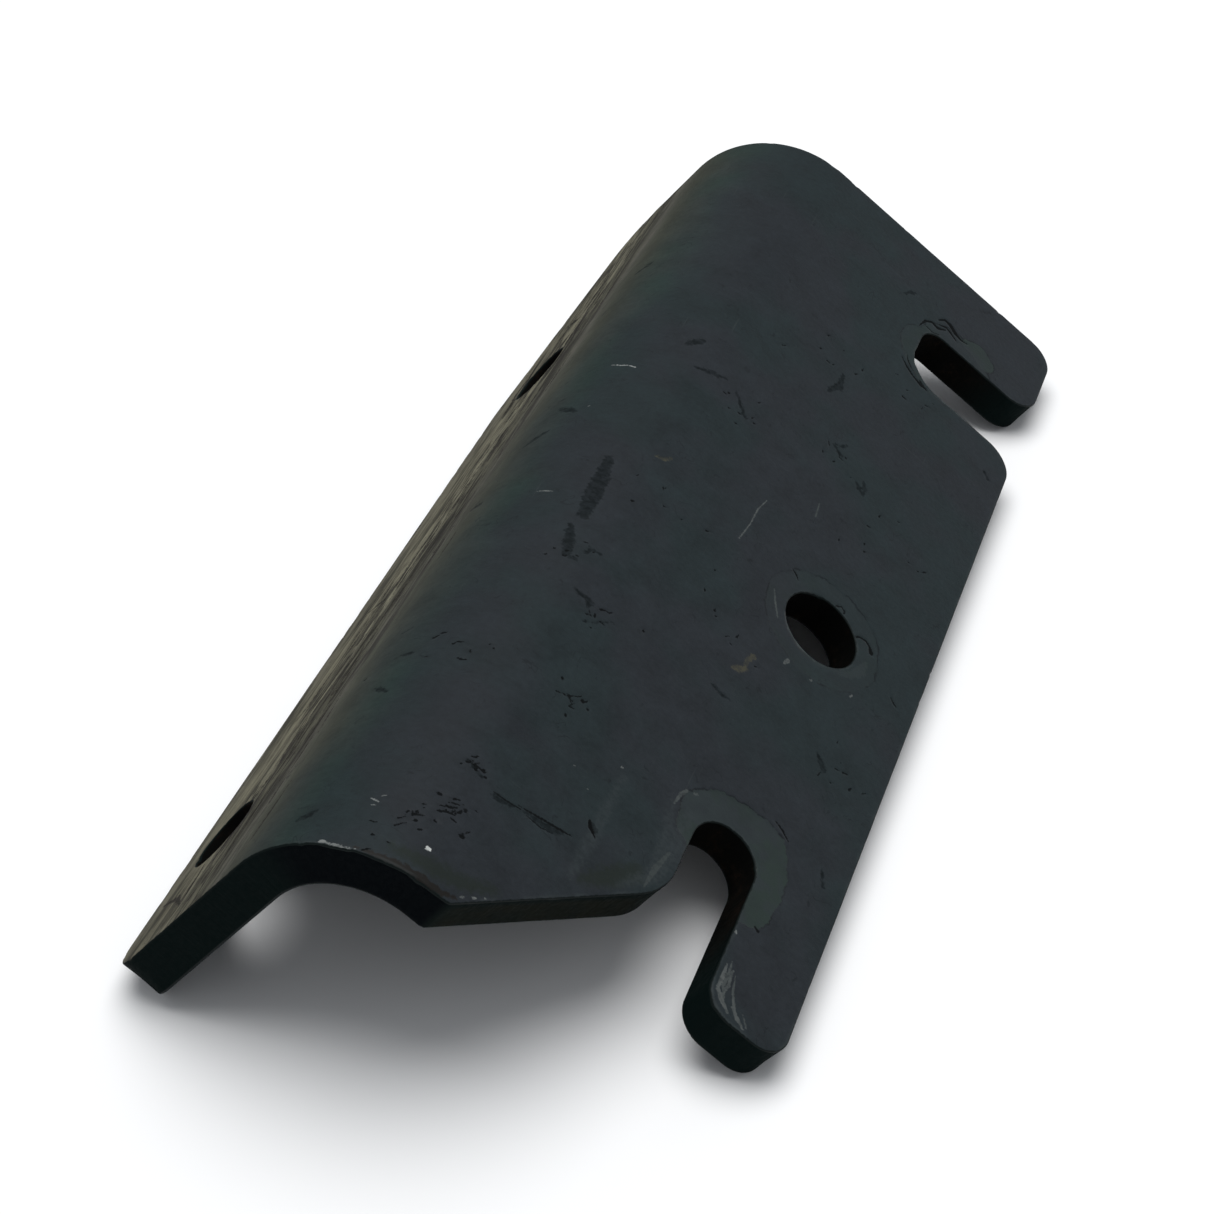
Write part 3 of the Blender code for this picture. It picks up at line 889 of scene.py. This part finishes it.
class PaintGraph(Graph):
    """The paint's graph: its colour so far, the place on the blank, and noises in millimetres."""

    def __init__(self):
        super().__init__("dark_paint")
        self.blank = self.attribute("blank", "Vector")
        self.u, self.y, z = self.node("ShaderNodeSeparateXYZ", {0: self.blank}).outputs
        self.outer = self.step(z, -0.6 * THICKNESS, -0.4 * THICKNESS)
        self.broad = self.grain(0.022, 3.0, 0.55)
        self.middle = self.grain(0.11, 5.0, 0.62, 0.4)
        self.small = self.grain(0.75, 4.0, 0.6)
        self.fine = self.grain(3.2, 2.0, 0.5)
        self.ragged = self.off_centre(self.grain(0.9, 4.0, 0.6))
        self.crisp = self.off_centre(self.grain(2.4, 3.0, 0.6))
        self.colour = SLATE

    def grain(self, scale, *shape):
        return self.noise(self.blank, scale, *shape)

    def streaks(self, scale, turn, *shape):
        """A noise drawn out: three scales, after a turn in degrees."""
        return self.noise(self.stretched(self.blank, scale, turn), 1.0, *shape)

    def lay(self, share, colour, way="MIX"):
        """Lays a colour over the paint, as strongly as share says."""
        self.colour = self.mix(share, self.colour, colour, way)

    def mark(self, name, softness, raggedness, source):
        """A mark's field with a ragged edge, and how much of the surface it takes, from 0 to 1."""
        field = self.plus(self.attribute(name), self.times(source, raggedness))
        return field, self.step(field, -softness, softness)


def lay_film(g):
    """The film's colour by u, with dust and painted sheen towards the side flange, mottled at three
    scales, with darker dabs and hairline curls.
    """
    drift = g.times(g.off_centre(g.grain(0.035, 4.0, 0.6)), 14.0)
    drift = g.plus(drift, g.step(g.y, 150.0, 270.0, 0.8, -3.5))
    last_u = FILM_DUST_AND_SHEEN[-1][0]
    across = g.math("MULTIPLY", g.plus(g.u, drift), 1.0 / last_u, clamp=True)
    # The ramp's paler, warmer tones towards the side flange are partly dust and partly painted sheen.
    film = g.ramp(across, [(u / last_u, tone) for u, tone in FILM_DUST_AND_SHEEN])
    g.lay(g.outer, film)
    greener = g.times(g.step(g.broad, 0.42, 0.58), g.step(g.u, -34.0, -24.0))
    g.lay(greener, GREEN_TINT, "MULTIPLY")
    gain = 1.0
    for source, amount in ((g.middle, 0.9), (g.small, 0.55), (g.fine, 0.3)):
        gain = g.plus(gain, g.times(g.off_centre(source), amount))
    g.colour = g.scaled(g.colour, gain)
    dabs = g.streaks((0.42, 0.3, 0.2), 30.0, 4.0, 0.7, 0.8)
    g.lay(g.step(dabs, 0.62, 0.7, 0.0, 0.35), DEEP_SLATE)
    contours = g.grain(0.17, 2.0, 0.5, 0.8)
    curls = g.step(g.math("ABSOLUTE", g.off_centre(contours)), 0.012, 0.003)
    patches = g.grain(0.1, 3.0, 0.6)
    g.lay(g.times(curls, g.step(patches, 0.56, 0.62, 0.0, 0.5)), DEEP_SLATE)


def lay_scuffs(g):
    """Streaks along the side flange, and dark scuffs along the die's line. Returns the scuffs."""
    flange = g.times(g.outer, g.step(g.u, -34.0, -50.0))
    streaks = g.streaks((0.2, 0.022, 0.1), 2.0, 6.0, 0.68, 0.5)
    g.colour = g.scaled(g.colour, g.blend(flange, 1.0, g.step(streaks, 0.38, 0.58, 0.35, 1.25)))
    off_line = g.math("ABSOLUTE", g.math("SUBTRACT", g.u, SCUFF_MIDDLE))
    scuffs = g.streaks((0.55, 0.06, 0.1), -3.0, 5.0, 0.7, 0.6)
    scuffs = g.times(g.step(off_line, 20.0, 4.0), g.step(scuffs, 0.49, 0.57, 0.0, 0.9))
    scuffs = g.times(scuffs, g.outer)
    g.lay(scuffs, SCRAPED)
    return scuffs


def lay_scratches(g):
    """Faint scratches in two directions, in patches. Returns the scratches."""
    lines = g.streaks((1.6, 0.035, 0.1), 24.0, 2.0, 0.5)
    others = g.streaks((0.03, 1.4, 0.1), -12.0, 2.0, 0.5)
    scratches = g.math("MAXIMUM", g.step(lines, 0.7, 0.76), g.step(others, 0.71, 0.77))
    patches = g.grain(0.045, 2.0)
    scratches = g.times(scratches, g.step(patches, 0.48, 0.6, 0.0, 0.35))
    g.lay(scratches, RUBBED_AND_HIGHLIGHT)
    return scratches


def lay_prints(g):
    """Paler washer prints with a broken dark rim. Returns how washed each place is."""
    field, washed = g.mark("print", 0.12, 1.4, g.ragged)
    rim = g.times(g.step(field, -0.4, -0.05), g.step(field, 0.3, 0.0))
    faded = g.step(g.grain(0.09, 4.0, 0.6), 0.35, 0.6, 0.55, 1.0)
    washed = g.times(washed, g.attribute("print_tone"))
    tint = g.step(g.grain(0.07, 3.0, 0.6), 0.44, 0.56)
    g.lay(g.times(washed, faded), g.mix(tint, PRINT_GREY, PRINT_SLATE))
    broken = g.step(g.grain(0.2, 3.0, 0.6), 0.42, 0.56, 0.1, 0.8)
    g.lay(g.times(rim, broken), DEEP_SLATE)
    return washed


def lay_marks(g):
    """The marks of every list, one kind over the other. Returns each kind's share."""
    # Rubbed or bare metal; on the arc along the main hole's rim, a painted highlight.
    metal = g.mix(g.attribute("wear_and_highlight_tone"), RUBBED_AND_HIGHLIGHT, BARE)
    # Attribute, softness and raggedness of its edge, that edge's noise, strength, colour.
    layers = [
        ("moss", 1.4, 5.0, g.ragged, 0.7, MOSS_GREEN),
        ("haze", 1.1, 3.0, g.ragged, g.step(g.small, 0.35, 0.62, 0.25, 0.65), HAZE),
        ("smear", 0.3, 2.4, g.ragged, g.step(g.small, 0.34, 0.64, 0.95, 0.45), SMEAR),
        ("brown", 0.2, 2.4, g.ragged, 0.85, SCRAPED),
        ("stain", 0.2, 2.0, g.crisp, g.step(g.small, 0.4, 0.6, 0.35, 0.9), STAIN),
        ("dark", 0.1, 0.8, g.crisp, 0.92, MARK_DARK),
        # The worn marks include the painted highlight along the main hole's rim.
        ("worn", 0.08, 0.8, g.crisp, g.step(g.small, 0.34, 0.56, 0.45, 1.0), metal),
    ]
    shares = {}
    for name, softness, raggedness, source, strength, tone in layers:
        _, shares[name] = g.mark(name, softness, raggedness, source)
        g.lay(g.times(shares[name], strength), tone)
    return shares


def worn_paint():
    """Dark slate paint: mottled, dusty and with painted sheen on the fold and side flange, worn to metal
    in places, with a painted highlight along the main hole's rim and painted shade on the arrises.
    """
    g = PaintGraph()
    lay_film(g)
    scuffs = lay_scuffs(g)
    scratches = lay_scratches(g)
    washed = lay_prints(g)
    shares = lay_marks(g)
    # Arrises: paint worn thin, and painted shade in the wall's near-black where it runs on to the cut
    # wall, so that the rounded edge does not show a lit rim.
    edge = g.attribute("edge")
    g.lay(g.times(g.step(edge, 1.0, 0.5), g.step(g.middle, 0.46, 0.62, 0.0, 0.35)), RUBBED_AND_HIGHLIGHT)
    g.lay(g.step(g.plus(edge, g.times(g.ragged, 0.7)), 0.34, 0.16), SHADED_WALL_GREEN)

    roughness = g.blend(washed, g.step(g.middle, 0.3, 0.7, 0.46, 0.58), 0.5)
    dusty = g.times(g.outer, g.step(g.u, -16.0, -33.0))
    roughness = g.blend(dusty, roughness, 1.0)
    dull = g.math("MAXIMUM", shares["dark"], g.times(shares["smear"], 0.5))
    roughness = g.blend(dull, roughness, 0.9)

    height = g.times(g.small, 0.05)
    for source, rise in ((g.fine, 0.02), (g.middle, 0.05),
                         (scratches, -0.02), (washed, -0.04), (scuffs, -0.05)):
        height = g.plus(height, g.times(source, rise))
    return g.finish(g.colour, roughness, height, MM, 0.1)


def cut_wall():
    """The flame-cut walls: nearly black green and navy along the fold, partly the cut steel's own tone and
    partly painted shade; dusty on the chamfer, brown in the holes and slots.
    """
    g = Graph("cut_wall")
    blank = g.attribute("blank", "Vector")
    u, y, z = g.node("ShaderNodeSeparateXYZ", {0: blank}).outputs
    middle = g.noise(blank, 0.13, 5.0, 0.62, 0.4)
    drag = g.noise(g.stretched(blank, (1.1, 1.1, 0.06)), 1.0, 3.0, 0.6)
    small = g.noise(blank, 0.8, 4.0, 0.6)
    at_fold = g.times(g.step(u, -34.0, -24.0), g.step(u, 4.5, 2.5))
    # Painted shade, in part: the walls' near-black green and navy.
    colour = g.mix(at_fold, SHADED_WALL_GREEN, SHADED_WALL_NAVY)
    chamfer = g.times(g.step(u, 2.5, 7.0), g.step(u, SLOT_LEFT, SLOT_LEFT - 5.0))
    chamfer = g.times(chamfer, g.step(y, CHAMFER_END + 4.0, CHAMFER_END))
    dusty = g.times(chamfer, g.step(middle, 0.36, 0.6, 0.55, 1.0))
    dusty = g.times(dusty, g.step(z, -0.8, -3.0, 0.1, 1.0))
    colour = g.mix(dusty, colour, WALL_DUSTY)
    bore = g.attribute("bore")
    rusty = g.times(g.step(middle, 0.46, 0.66), g.step(small, 0.42, 0.62, 0.1, 0.9))
    colour = g.mix(bore, colour, g.mix(rusty, BORE_BLACK, BORE_BROWN))
    gain = g.plus(0.75, g.times(drag, 0.5))
    colour = g.scaled(colour, gain)
    roughness = g.step(small, 0.3, 0.7, 0.62, 0.8)
    height = g.plus(g.times(drag, 0.12), g.times(small, 0.05))
    return g.finish(colour, roughness, height, MM, 0.02)


def pale_floor():
    """A matt pale studio floor."""
    g = Graph("pale_floor")
    place = g.node("ShaderNodeTexCoord", {}).outputs["Object"]
    cloud = g.noise(place, 1.2, 2.0)
    colour = g.mix(cloud, (0.86, 0.86, 0.86), (0.88, 0.88, 0.88))
    return g.finish(colour, g.step(cloud, 0.2, 0.8, 0.85, 0.95), cloud, 0.1 * MM, 0.1)


# ---- floor, lights and camera ----
def add_floor():
    mesh = bpy.data.meshes.new("floor")
    far = FLOOR_REACH
    corners = [(-far, -far, 0.0), (far, -far, 0.0), (far, far, 0.0), (-far, far, 0.0)]
    mesh.from_pydata(corners, [], [(0, 1, 2, 3)])
    floor = add_object("floor", mesh)
    mesh.materials.append(pale_floor())


def light_scene():
    """A soft even sky and one large softbox overhead."""
    world = bpy.data.worlds.new("studio")
    world.use_nodes = True
    background = world.node_tree.nodes["Background"]
    background.inputs["Color"].default_value = SKY
    background.inputs["Strength"].default_value = SKY_STRENGTH
    bpy.context.scene.world = world

    light = bpy.data.lights.new("top_softbox", "AREA")
    light.shape = "DISK"
    light.size = SOFTBOX_SIZE
    light.energy = SOFTBOX_POWER
    softbox = add_object("top_softbox", light)
    softbox.location = SOFTBOX_PLACE
    softbox.rotation_euler = Vector(SOFTBOX_AIM).to_track_quat("-Z", "Y").to_euler()


def add_camera():
    data = bpy.data.cameras.new("camera")
    data.lens = CAMERA_LENS
    data.sensor_width = SENSOR
    data.clip_start = 0.01
    camera = add_object("camera", data)
    camera.location = CAMERA_PLACE
    camera.rotation_euler = tuple(math.radians(a) for a in CAMERA_TURN)
    bpy.context.scene.camera = camera


def main():
    plate = build_plate(*PLATE_BOX)
    plate.data.materials.append(worn_paint())
    plate.data.materials.append(cut_wall())
    bpy.context.scene.view_settings.view_transform = "Standard"
    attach(plate, "root")
    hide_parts("bent_plate")
    add_floor()
    light_scene()
    add_camera()


main()
